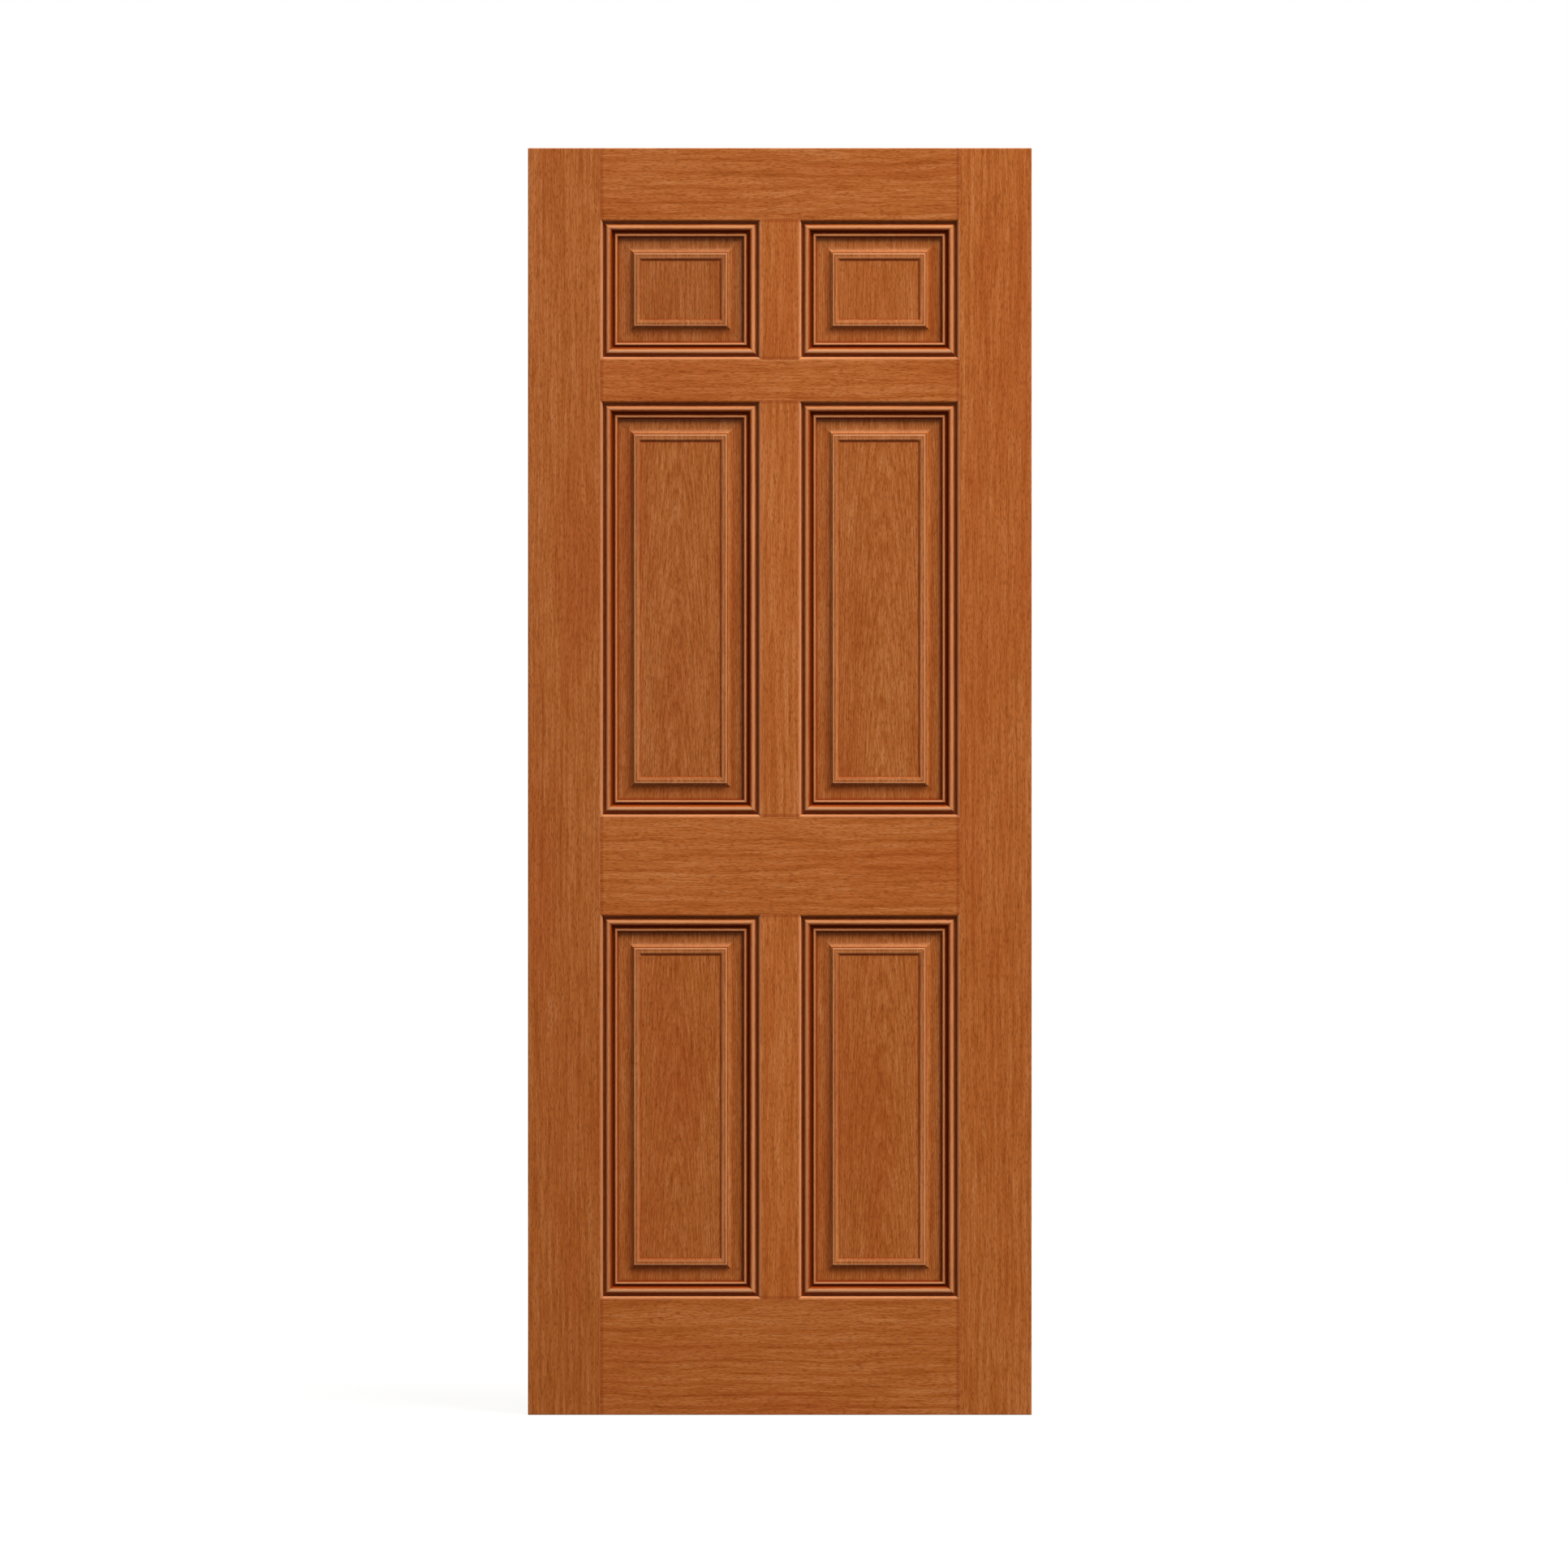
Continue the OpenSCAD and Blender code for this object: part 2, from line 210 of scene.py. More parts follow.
@dataclass(frozen=True)
class StainedMahogany:
    """Mahogany, planed and sanded, with a wiped red-brown stain under a satin varnish.

    The eye sees soft streaks along the fibres, short dark pores and faint growth rings. The stain
    gathers dark red-brown in quirks and hollows, where it also paints the shade that falls there,
    is darkest as painted shade on bead flanks that look to the panel, and is wiped thin on crests
    and arrises, which are paled further as painted highlights. The varnish gives broad, mild
    highlights.

    Attributes:
        light: Colour of the palest fibres.
        body: Colour of most of the wood.
        dark: Colour of the darkest streaks.
        pore: Colour of the stain that lies in the open pores.
        flush: Colour of the redder patches in a board.
        gathered: Colour of the stain that gathers in hollows, which also paints the shade that
            falls there.
        pooled: Colour of the deepest painted shade, on the flanks of beads that look to the panel.
        wiped_sheen: Colour of the wood where the stain is wiped thin, on crests and arrises, paled
            further to paint the varnish's highlight there.
        fibre_mm: Width and length of a fine streak. The real fibres are too fine to show, so they
            are drawn as wide as a pixel of the photograph.
        band_mm: Width and length of a broad streak.
        cloud_mm: Width and length of the slow change of colour in a board.
        pore_mm: Width and length of a pore, drawn wider than a real one so that it shows.
        drift_mm: Width and length of the swings in which the fibres wander.
        log_mm: Length of a log, by which the boards' figures are set apart.
        streaks: How much the fine streaks, the broad streaks and the slow change darken the wood.
        pore_levels: Levels of the pores' noise where a pore starts and where it is open.
        pore_fill: How much of the stain's colour shows in an open pore.
        flush_levels: Levels of the slow change where a redder patch starts and where it is full.
        flush_most: How much of the redder colour shows in a full patch.
        arris_mm: Distances from a board's edge where the wiped wood starts to fade and ends.
        arris_wipe: How much of the wiped_sheen colour shows on that edge, as wiped stain and as a
            painted highlight.
        glue_mm: Distances from a shoulder where its glue line starts and where it is full.
        glue_depth: How much of the gathered colour shows in a glue line.
        grain_mm: Height of the grain's relief.
        grain_bend: How strongly that relief bends the light.
        grain_relief: How much the fine streaks and the pores raise the surface.
        roughness: Roughness of the varnish, where the fibres are of middle shade.
        grain_gloss: How much the fine streaks and the pores roughen it.
        ior: Refractive index of the varnish.
        specular: Strength of the varnish's reflection, as the shader counts it.
    """

    light: str = "#c07d4c"
    body: str = "#a85e29"
    dark: str = "#833b09"
    pore: str = "#682900"
    flush: str = "#a24c20"
    gathered: str = "#7b2b05"
    pooled: str = "#3a0f00"
    wiped_sheen: str = "#d69d74"
    fibre_mm: Point2 = (1.6, 45.0)
    band_mm: Point2 = (6.0, 170.0)
    cloud_mm: Point2 = (60.0, 420.0)
    pore_mm: Point2 = (1.2, 8.0)
    drift_mm: Point2 = (55.0, 200.0)
    log_mm: float = 3170.0
    streaks: Point3 = (0.95, 0.75, 0.25)
    pore_levels: Point2 = (0.53, 0.66)
    pore_fill: float = 0.38
    flush_levels: Point2 = (0.5, 0.75)
    flush_most: float = 0.3
    arris_mm: Point2 = (3.0, 6.0)
    arris_wipe: float = 0.3
    glue_mm: Point2 = (1.5, 0.3)
    glue_depth: float = 0.35
    grain_mm: float = 0.25
    grain_bend: float = 0.35
    grain_relief: Point2 = (0.5, -0.6)
    roughness: float = 0.32
    grain_gloss: Point2 = (0.12, 0.16)
    ior: float = 1.5
    specular: float = 0.05

    def material(
        self, name: str, cut: LogCut, box: Box, joint: bool = False, arrises: Sequence[int] = ()
    ) -> bpy.types.Material:
        """Makes the timber of one board, as a solid that the board is cut from.

        Args:
            name: The material's name.
            cut: Where in its log the board was sawn.
            box: The board's lowest and highest corners, in metres.
            joint: Whether the board's ends show a glue line against the boards they meet.
            arrises: The rounded long edges that are paled, 0 for the one at the lowest corner and 1
                for the other.

        Returns:
            The material.
        """
        material, tree = new_material(name)
        place = add_node(tree, "TexCoord").outputs["Object"]
        log = self._log_space(tree, place, cut, box)
        fibre = self._stretched_noise(tree, log, self.fibre_mm, detail=2.0)
        band = self._stretched_noise(tree, log, self.band_mm, detail=3.0)
        cloud = self._stretched_noise(tree, log, self.cloud_mm, detail=1.0)
        speck = self._stretched_noise(tree, log, self.pore_mm, detail=0.0)
        closed, opened = self.pore_levels
        pores = add_node(
            tree, "MapRange", {"Value": speck, "From Min": closed, "From Max": opened},
            interpolation_type="SMOOTHSTEP",
        ).outputs[0]
        ring = self._growth_rings(tree, log, cut.ring_mm)
        patterns = zip((fibre, band, cloud, ring), (*self.streaks, cut.figure))
        shade = self._weighted_sum(tree, 0.5, patterns)
        colour = self._colour(tree, shade, cloud, pores, cut.tone)
        for edge in arrises:
            colour = self._wiped_arris(tree, colour, place, cut, box[edge])
        if joint:
            colour = self._glue_line(tree, colour, place, cut, box)
        height = self._weighted_sum(tree, 0.5, zip((fibre, pores), self.grain_relief))
        rough = self._weighted_sum(tree, self.roughness, zip((fibre, pores), self.grain_gloss))
        bump = add_node(
            tree, "Bump",
            {"Strength": self.grain_bend, "Distance": self.grain_mm * MM, "Height": height},
        )
        shader = add_node(
            tree, "BsdfPrincipled",
            {
                "Base Color": colour, "Roughness": rough, "Normal": bump.outputs[0],
                "IOR": self.ior, "Specular IOR Level": self.specular,
            },
        )
        add_node(tree, "OutputMaterial", {"Surface": shader.outputs[0]})
        return material

    def _log_space(self, tree: Tree, place: Socket, cut: LogCut, box: Box) -> Socket:
        """Places the board in its log.

        Args:
            tree: The material's nodes.
            place: The place on the leaf, in metres.
            cut: Where in the log the board was sawn.
            box: The board's lowest and highest corners, in metres.

        Returns:
            The place in the log in mm, with the pith along Z and the fibres' wander added.
        """
        turn = -90.0 if cut.grain is Grain.ACROSS else 0.0
        rotation = Euler((math.radians(cut.lean), math.radians(turn), 0.0))
        middle = (box[0] + box[1]) / 2 / MM
        pith = Vector((cut.pith_shift, cut.pith_depth, self.log_mm * cut.seed))
        start = pith - rotation.to_matrix() @ middle
        sawn = add_node(
            tree, "Mapping",
            {"Vector": place, "Location": start, "Rotation": rotation, "Scale": (1 / MM,) * 3},
        ).outputs[0]
        width, length = self.drift_mm
        wide = add_node(
            tree, "VectorMath",
            {0: sawn, 1: (1 / width, 1 / width, 1 / length)},
            operation="MULTIPLY",
        ).outputs[0]
        swings = add_node(tree, "TexNoise", {"Vector": wide, "Scale": 1.0, "Detail": 2.0})
        drift = swings.outputs["Color"]
        wander = cut.wander_mm
        offset = add_node(
            tree, "VectorMath",
            {0: drift, 1: (2 * wander, 2 * wander, 0.0), 2: (-wander, -wander, 0.0)},
            operation="MULTIPLY_ADD",
        ).outputs[0]
        return add_node(tree, "VectorMath", {0: sawn, 1: offset}, operation="ADD").outputs[0]

    def _stretched_noise(self, tree: Tree, log: Socket, size_mm: Point2, detail: float) -> Socket:
        """Adds a noise that is drawn out along the fibres.

        Args:
            tree: The material's nodes.
            log: The place in the log, in mm.
            size_mm: Width and length of a streak.
            detail: Octaves of finer detail.

        Returns:
            The noise, from 0 to 1.
        """
        width, length = size_mm
        scaled = add_node(
            tree, "VectorMath",
            {0: log, 1: (1 / width, 1 / width, 1 / length)},
            operation="MULTIPLY",
        ).outputs[0]
        noise = add_node(tree, "TexNoise", {"Vector": scaled, "Scale": 1.0, "Detail": detail})
        return noise.outputs[0]

    def _growth_rings(self, tree: Tree, log: Socket, width: float) -> Socket:
        """Draws growth rings around the pith.

        Args:
            tree: The material's nodes.
            log: The place in the log, in mm.
            width: Width of a ring, in mm.

        Returns:
            The darkness within a ring: a slow rise from early to late wood, then a quick fall.
        """
        flat = add_node(
            tree, "VectorMath", {0: log, 1: (1.0, 1.0, 0.0)}, operation="MULTIPLY"
        ).outputs[0]
        radius = add_node(tree, "VectorMath", {0: flat}, operation="LENGTH").outputs["Value"]
        count = add_node(tree, "Math", {0: radius, 1: width}, operation="DIVIDE").outputs[0]
        part = add_node(tree, "Math", {0: count}, operation="FRACT").outputs[0]
        ramp = add_node(tree, "ValToRGB", {0: part})
        stops = ramp.color_ramp.elements
        start, early, late = (0.25, 0.25, 0.25, 1.0), (0.2, 0.2, 0.2, 1.0), (1.0, 1.0, 1.0, 1.0)
        stops[0].position, stops[0].color = 0.0, start
        stops[1].position, stops[1].color = 0.82, late
        stops.new(0.3).color = early
        stops.new(1.0).color = start
        return ramp.outputs[0]

    def _weighted_sum(
        self, tree: Tree, start: float, terms: Iterable[tuple[Socket, float]]
    ) -> Socket:
        """Adds up patterns about a middle value.

        Args:
            tree: The material's nodes.
            start: The middle value, where every pattern is at its own middle of 0.5.
            terms: Each pattern with its weight.

        Returns:
            The sum.
        """
        terms = list(terms)
        total: Any = start - sum(0.5 * weight for _, weight in terms)
        for pattern, weight in terms:
            total = add_node(
                tree, "Math", {0: pattern, 1: weight, 2: total}, operation="MULTIPLY_ADD"
            ).outputs[0]
        return total

    def _colour(
        self, tree: Tree, shade: Socket, cloud: Socket, pores: Socket, tone: float
    ) -> Socket:
        """Colours the wood, its pores, the stain in its hollows with its painted shade, and the
        wiped crests with their painted highlights.

        Args:
            tree: The material's nodes.
            shade: Darkness of the wood, from 0 to 1.
            cloud: The slow change of colour in the board, from 0 to 1.
            pores: Where a pore is open.
            tone: Lightness of the board.

        Returns:
            The colour.
        """
        ramp = add_node(tree, "ValToRGB", {0: shade})
        stops = ramp.color_ramp.elements
        stops[0].color = linear(self.light, tone)
        stops[1].color = linear(self.dark, tone)
        stops.new(0.5).color = linear(self.body, tone)
        start, full = self.flush_levels
        red = add_node(
            tree, "MapRange",
            {"Value": cloud, "From Min": start, "From Max": full, "To Max": self.flush_most},
        ).outputs[0]
        patched = add_node(
            tree, "Mix", {0: red, 6: ramp.outputs[0], 7: linear(self.flush, tone)}, data_type="RGBA"
        ).outputs[2]
        filled = add_node(
            tree, "Math", {0: pores, 1: self.pore_fill}, operation="MULTIPLY"
        ).outputs[0]
        porous = add_node(
            tree, "Mix", {0: filled, 6: patched, 7: linear(self.pore, tone)}, data_type="RGBA"
        ).outputs[2]
        # Depth below 0 mixes in the wiped_sheen colour, wiped stain and a painted highlight; from 0
        # to 1 the gathered colour, stain and painted shade; above 1 the pooled colour.
        depth = add_node(tree, "Attribute", attribute_name=STAIN_AND_LIGHT_ATTRIBUTE).outputs["Fac"]
        thin = add_node(tree, "Math", {0: depth, 1: -1.0}, operation="MULTIPLY").outputs[0]
        wiped = add_node(
            tree, "Mix", {0: thin, 6: porous, 7: linear(self.wiped_sheen, tone)}, data_type="RGBA"
        ).outputs[2]
        stained_and_shaded = add_node(
            tree, "Mix", {0: depth, 6: wiped, 7: linear(self.gathered)}, data_type="RGBA"
        ).outputs[2]
        pool_shade = add_node(tree, "Math", {0: depth, 1: 1.0}, operation="SUBTRACT").outputs[0]
        return add_node(
            tree, "Mix", {0: pool_shade, 6: stained_and_shaded, 7: linear(self.pooled)}, data_type="RGBA"
        ).outputs[2]

    def _wiped_arris(
        self, tree: Tree, colour: Socket, place: Socket, cut: LogCut, corner: Vector
    ) -> Socket:
        """Lightens a board along a rounded long edge, where the stain was wiped thin, which also
        paints a highlight there.

        Args:
            tree: The material's nodes.
            colour: The colour of the wood.
            place: The place on the leaf, in metres.
            cut: Where in the log the board was sawn.
            corner: The corner of the board's box that the edge starts from.

        Returns:
            The colour with its wiped edge.
        """
        width_axis, length_axis = (2, 0) if cut.grain is Grain.ACROSS else (0, 2)
        across = add_node(tree, "SeparateXYZ", {0: place}).outputs[width_axis]
        offset = add_node(
            tree, "Math", {0: across, 1: corner[width_axis]}, operation="SUBTRACT"
        ).outputs[0]
        away = add_node(tree, "Math", {0: offset}, operation="ABSOLUTE").outputs[0]
        fade, end = (distance * MM for distance in self.arris_mm)
        wiped = add_node(
            tree, "MapRange",
            {
                "Value": away, "From Min": fade, "From Max": end,
                "To Min": self.arris_wipe, "To Max": 0.0,
            },
            interpolation_type="SMOOTHSTEP",
        ).outputs[0]
        normal = add_node(tree, "NewGeometry").outputs["Normal"]
        lengthwise = add_node(tree, "SeparateXYZ", {0: normal}).outputs[length_axis]
        end_grain = add_node(tree, "Math", {0: lengthwise}, operation="ABSOLUTE").outputs[0]
        long_side = add_node(tree, "Math", {0: 1.0, 1: end_grain}, operation="SUBTRACT").outputs[0]
        amount = add_node(tree, "Math", {0: wiped, 1: long_side}, operation="MULTIPLY").outputs[0]
        return add_node(
            tree, "Mix", {0: amount, 6: colour, 7: linear(self.wiped_sheen, cut.tone)}, data_type="RGBA"
        ).outputs[2]

    def _glue_line(
        self, tree: Tree, colour: Socket, place: Socket, cut: LogCut, box: Box
    ) -> Socket:
        """Darkens the last millimetre before a board's shoulder, where the stain took to the joint.

        Args:
            tree: The material's nodes.
            colour: The colour of the wood.
            place: The place on the leaf, in metres.
            cut: Where in the log the board was sawn.
            box: The board's lowest and highest corners, in metres.

        Returns:
            The colour with its glue lines.
        """
        axis = 0 if cut.grain is Grain.ACROSS else 2
        shoulder = (box[1][axis] - box[0][axis]) / 2 - Joinery.stub_tongue * MM
        along = add_node(tree, "SeparateXYZ", {0: place}).outputs[axis]
        middle = (box[0][axis] + box[1][axis]) / 2
        offset = add_node(tree, "Math", {0: along, 1: middle}, operation="SUBTRACT").outputs[0]
        away = add_node(tree, "Math", {0: offset}, operation="ABSOLUTE").outputs[0]
        start, full = (shoulder - distance * MM for distance in self.glue_mm)
        near = add_node(
            tree, "MapRange",
            {"Value": away, "From Min": start, "From Max": full, "To Max": self.glue_depth},
            interpolation_type="SMOOTHSTEP",
        ).outputs[0]
        return add_node(
            tree, "Mix", {0: near, 6: colour, 7: linear(self.gathered)}, data_type="RGBA"
        ).outputs[2]


@dataclass(frozen=True)
class BeechPeg:
    """Beech, turned to round pegs and left bare, which looks pale and fine with short dark flecks.

    Attributes:
        pale: Colour of the wood.
        fleck: Colour of the flecks.
        fleck_mm: Width and length of a fleck.
        roughness: Roughness of the turned wood.
    """

    pale: str = "#c9a26a"
    fleck: str = "#a97c48"
    fleck_mm: Point2 = (0.8, 3.5)
    roughness: float = 0.65

    def material(self) -> bpy.types.Material:
        """Makes the material, with the flecks along X, as the rail pegs lie.

        Returns:
            The material.
        """
        material, tree = new_material("beech_turned_bare")
        place = add_node(tree, "TexCoord").outputs["Object"]
        width, length = (1 / (size * MM) for size in self.fleck_mm)
        scaled = add_node(tree, "Mapping", {"Vector": place, "Scale": (length, width, width)})
        noise = add_node(
            tree, "TexNoise", {"Vector": scaled.outputs[0], "Scale": 1.0, "Detail": 1.0}
        ).outputs[0]
        colour = add_node(
            tree, "Mix", {0: noise, 6: linear(self.pale), 7: linear(self.fleck)}, data_type="RGBA"
        ).outputs[2]
        shader = add_node(
            tree, "BsdfPrincipled", {"Base Color": colour, "Roughness": self.roughness}
        )
        add_node(tree, "OutputMaterial", {"Surface": shader.outputs[0]})
        return material


@dataclass(frozen=True)
class Joinery:
    """Sizes of the leaf's joints, in mm.

    Attributes:
        stub_tongue: Length of the tongue at the end of a rail or mullion.
        panel_tongue: How far a panel's edge reaches into its groove.
    """

    stub_tongue: float = 11.0
    panel_tongue: float = 10.0


@dataclass
class Board:
    """A stile, rail or mullion, which keeps its solid from the model and gets its timber.

    Attributes:
        node: The board's node.
        cut: Where in its log it was sawn.
        joint: Whether its ends are shoulders that show a glue line.
        arrises: Its long edges with wiped stain and a painted highlight, 0 for the left or lower
            one and 1 for the other.
    """

    node: str
    cut: LogCut
    joint: bool
    arrises: tuple[int, ...] = ()

    def dress(self, finish: StainedMahogany) -> None:
        """Gives the board its timber.

        Args:
            finish: The timber and its surface.
        """
        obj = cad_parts[self.node]
        material = finish.material(
            f"mahogany_stained_{self.node}", self.cut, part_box(self.node), self.joint, self.arrises
        )
        obj.data.materials.clear()
        obj.data.materials.append(material)
        LOG.info("dressed %s", self.node)


@dataclass(frozen=True)
class Wipe:
    """How the stain was wiped on a bead, with the highlight painted on its crest and the shade
    painted on its flanks.

    Attributes:
        lean: How far the paled crest, a wiped and painted highlight, leans away from the panel, in
            degrees.
        pool: How much painted shade darkens the side that looks to the panel.
        clear: How steeply the stain thins towards the crest, paling it as a painted highlight.
        foot_depth: Depth of stain at the bead's foot, which also paints the shade there.
        crest_drop: Drop below the crest, in radii, over which most of that stain comes back.
        crest_curve: How sharply it comes back.
        clear_from: Height in radii above which the stain thins and the highlight is painted towards
            the crest.
        pool_from: Distance in radii towards the panel from which the painted shade deepens.
    """

    lean: float
    pool: float
    clear: float
    foot_depth: float = 0.9
    crest_drop: float = 0.36
    crest_curve: float = 1.6
    clear_from: float = 0.8
    pool_from: float = 0.2

    def depth(self, inward: float, upward: float) -> float:
        """Gives the depth of stain at a place on the bead.

        Args:
            inward: Where the place lies from the bead's centre towards the panel, in radii.
            upward: Where it lies from the centre towards the face, in radii.

        Returns:
            The depth: below 0 where the stain is wiped thin and a highlight is painted, and over 1
                where painted shade lies deepest.
        """
        turn = math.radians(self.lean)
        rise = min(1.0, upward * math.cos(turn) - inward * math.sin(turn))
        bare = math.exp(-(((1.0 - rise) / self.crest_drop) ** self.crest_curve))
        gathered = self.foot_depth - self.foot_depth * bare
        thinned_and_highlit = self.clear * max(0.0, rise - self.clear_from)
        return gathered - thinned_and_highlit + self.pool * max(0.0, inward - self.pool_from)


@dataclass(frozen=True)
class StripWipe:
    """How the stain was wiped on one strip of moulding, with its painted highlights and painted
    shade.

    Attributes:
        bead: The wiping of the large bead.
        lip: The wiping of the small bead.
    """

    bead: Wipe
    lip: Wipe


# The level strip at the foot of each opening looks up to the lamp. LIT_STRIP gives its large bead a
# paler crest and less painted shade on its inner flank, and gives its small bead more painted shade
# on the flank that looks to the panel. The other three strips take SHADED_STRIP.
SHADED_STRIP = StripWipe(Wipe(lean=12.0, pool=0.9, clear=2.2), Wipe(lean=0.0, pool=0.3, clear=2.2))
LIT_STRIP = StripWipe(Wipe(lean=2.0, pool=0.3, clear=4.2), Wipe(lean=0.0, pool=1.0, clear=4.2))


@dataclass
class MouldingProfile:
    """Section of the planted moulding, in mm: a quirk, a large bead, a hollow and a small bead.

    Attributes:
        quirk_w: Width of the quirk beside the opening's edge.
        quirk_floor: Height of the quirk's floor over the moulding's back.
        bead_r: Radius of the large bead.
        bead_centre: Height of the large bead's centre.
        hollow_w: Width of the hollow.
        lip_r: Radius of the small bead.
        lip_centre: Height of the small bead's centre.
        hollow_stain: Depth of stain in the hollow, which also paints the shade there.
        quirk_stain: Depth of stain on the quirk's floor, which also paints the shade there.
        arc_steps: Chords in half a turn.
    """

    quirk_w: float = 3.5
    quirk_floor: float = 4.3
    bead_r: float = 6.0
    bead_centre: float = 5.3
    hollow_w: float = 2.5
    lip_r: float = 3.2
    lip_centre: float = 3.4
    hollow_stain: float = 0.9
    quirk_stain: float = 0.4
    arc_steps: int = 24

    @property
    def bead_end(self) -> float:
        """Distance from the opening's edge to the end of the large bead."""
        return self.quirk_w + 2 * self.bead_r

    @property
    def width(self) -> float:
        """Width of the moulding."""
        return self.bead_end + self.hollow_w + 2 * self.lip_r

    def outline(self, wipe_and_light: StripWipe) -> list[Point3]:
        """Draws the section.

        Args:
            wipe_and_light: How the stain was wiped on the strip, with its painted highlights and
                shade.

        Returns:
            Each point's distance from the opening's edge, height over the back and depth of stain
            and painted light.
        """
        lip_x = self.width - self.lip_r
        hollow_x = self.bead_end + self.hollow_w / 2
        bead_x = self.quirk_w + self.bead_r
        steps = self.arc_steps
        points: list[Point3] = [(0.0, 0.0, 0.0), (self.width, 0.0, 1.0)]
        for u, v in arc((lip_x, self.lip_centre), self.lip_r, 0, 180, steps):
            inward, upward = (u - lip_x) / self.lip_r, (v - self.lip_centre) / self.lip_r
            points.append((u, v, wipe_and_light.lip.depth(inward, upward)))
        for u, v in arc((hollow_x, self.lip_centre), self.hollow_w / 2, 0, -180, steps)[1:]:
            points.append((u, v, self.hollow_stain))
        for u, v in arc((bead_x, self.bead_centre), self.bead_r, 0, 180, steps):
            inward, upward = (u - bead_x) / self.bead_r, (v - self.bead_centre) / self.bead_r
            points.append((u, v, wipe_and_light.bead.depth(inward, upward)))
        points.append((self.quirk_w, self.quirk_floor, self.quirk_stain))
        points.append((0.0, self.quirk_floor, self.quirk_stain))
        return points


def sharpen(bm: bmesh.types.BMesh, angle: float) -> None:
    """Shades a mesh smooth but for the edges where it turns.

    Args:
        bm: The mesh.
        angle: The turn in degrees above which an edge stays sharp.
    """
    bmesh.ops.recalc_face_normals(bm, faces=bm.faces)
    limit = math.radians(angle)
    for face in bm.faces:
        face.smooth = True
    for edge in bm.edges:
        edge.smooth = edge.calc_face_angle(0.0) < limit


def mesh_piece(name: str, bm: bmesh.types.BMesh, node: str) -> bpy.types.Object:
    """Puts a finished mesh in the scene in place of its node.

    Args:
        name: The piece's name.
        bm: The mesh, which is freed.
        node: The node that the piece stands for.

    Returns:
        The new object.
    """
    mesh = bpy.data.meshes.new(name)
    bm.to_mesh(mesh)
    bm.free()
    obj = bpy.data.objects.new(name, mesh)
    bpy.context.collection.objects.link(obj)
    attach(obj, "root")
    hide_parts(node)
    LOG.info("built %s: %d faces", name, len(mesh.polygons))
    return obj


@dataclass
class PlantedMoulding:
    """Four mitred strips of moulding around one opening, on one face.

    Attributes:
        row: The opening's row.
        side: The opening's side.
        face: The face that the moulding is on.
        profile: The moulding's section.
        mitre_gap: Gap at each mitre along the strip, in mm.
    """

    row: str
    side: str
    face: Face
    profile: MouldingProfile = field(default_factory=MouldingProfile)
    mitre_gap: float = 0.1

    @property
    def node(self) -> str:
        """The moulding's node."""
        return f"{self.row}_{self.side}_{self.face.label}_moulding"

    def build(self) -> bpy.types.Object:
        """Sweeps the section along the four sides.

        Returns:
            The moulding, whose level strips use its second material.
        """
        low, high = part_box(self.node)
        back = high.y if self.face is Face.FRONT else low.y
        across, up = Vector((1, 0, 0)), Vector((0, 0, 1))
        width, height = high.x - low.x, high.z - low.z
        strips = (
            (Vector((low.x, back, low.z)), up, across, height, 0, SHADED_STRIP),
            (Vector((high.x, back, low.z)), up, -across, height, 0, SHADED_STRIP),
            (Vector((low.x, back, low.z)), across, up, width, 1, LIT_STRIP),
            (Vector((low.x, back, high.z)), across, -up, width, 1, SHADED_STRIP),
        )
        bm = bmesh.new()
        stain = bm.verts.layers.float.new(STAIN_AND_LIGHT_ATTRIBUTE)
        for corner, along, inward, length, material, wipe_and_light in strips:
            self._add_strip(bm, stain, corner, along, inward, length, material, wipe_and_light)
        sharpen(bm, MOULDING_CREASE)
        return mesh_piece(f"{self.node}_strips", bm, self.node)

    def _add_strip(
        self,
        bm: bmesh.types.BMesh,
        stain: bmesh.types.BMLayerItem,
        corner: Vector,
        along: Vector,
        inward: Vector,
        length: float,
        material: int,
        wipe_and_light: StripWipe,
    ) -> None:
        """Adds one closed strip with mitred ends.

        Args:
            bm: The mesh.
            stain: The mesh's layer of stain depth, which also carries painted shade and highlights.
            corner: The corner of the opening where the strip starts, at the moulding's back.
            along: The way that the strip runs.
            inward: The way into the opening.
            length: Length of the opening's side, in metres.
            material: Index of the strip's material.
            wipe_and_light: How the strip's stain was wiped, with its painted highlights and shade.
        """
        out = Vector((0, self.face.value, 0))
        ends: list[list[bmesh.types.BMVert]] = [[], []]
        for u, v, amount in self.profile.outline(wipe_and_light):
            foot = corner + inward * (u * MM) + out * (v * MM)
            mitre = (u + self.mitre_gap) * MM
            for ring, distance in zip(ends, (mitre, length - mitre)):
                vert = bm.verts.new(foot + along * distance)
                vert[stain] = amount
                ring.append(vert)
        first, last = ends
        faces = []
        for i in range(len(first)):
            j = (i + 1) % len(first)
            faces.append(bm.faces.new((first[i], first[j], last[j], last[i])))
        faces += [bm.faces.new(first), bm.faces.new(last)]
        for face in faces:
            face.material_index = material

    def dress(self, obj: bpy.types.Object, finish: StainedMahogany, seed: int) -> None:
        """Gives the upright and the level strips their timber.

        Args:
            obj: The moulding.
            finish: The timber and its surface.
            seed: Number of the log that the strips come from.
        """
        for number, grain in enumerate(Grain, seed):
            cut = LogCut(grain, pith_depth=120.0, pith_shift=40.0, lean=0.4, seed=number, tone=0.96)
            name = f"mahogany_stained_{self.node}_{grain.value}"
            obj.data.materials.append(finish.material(name, cut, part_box(self.node)))


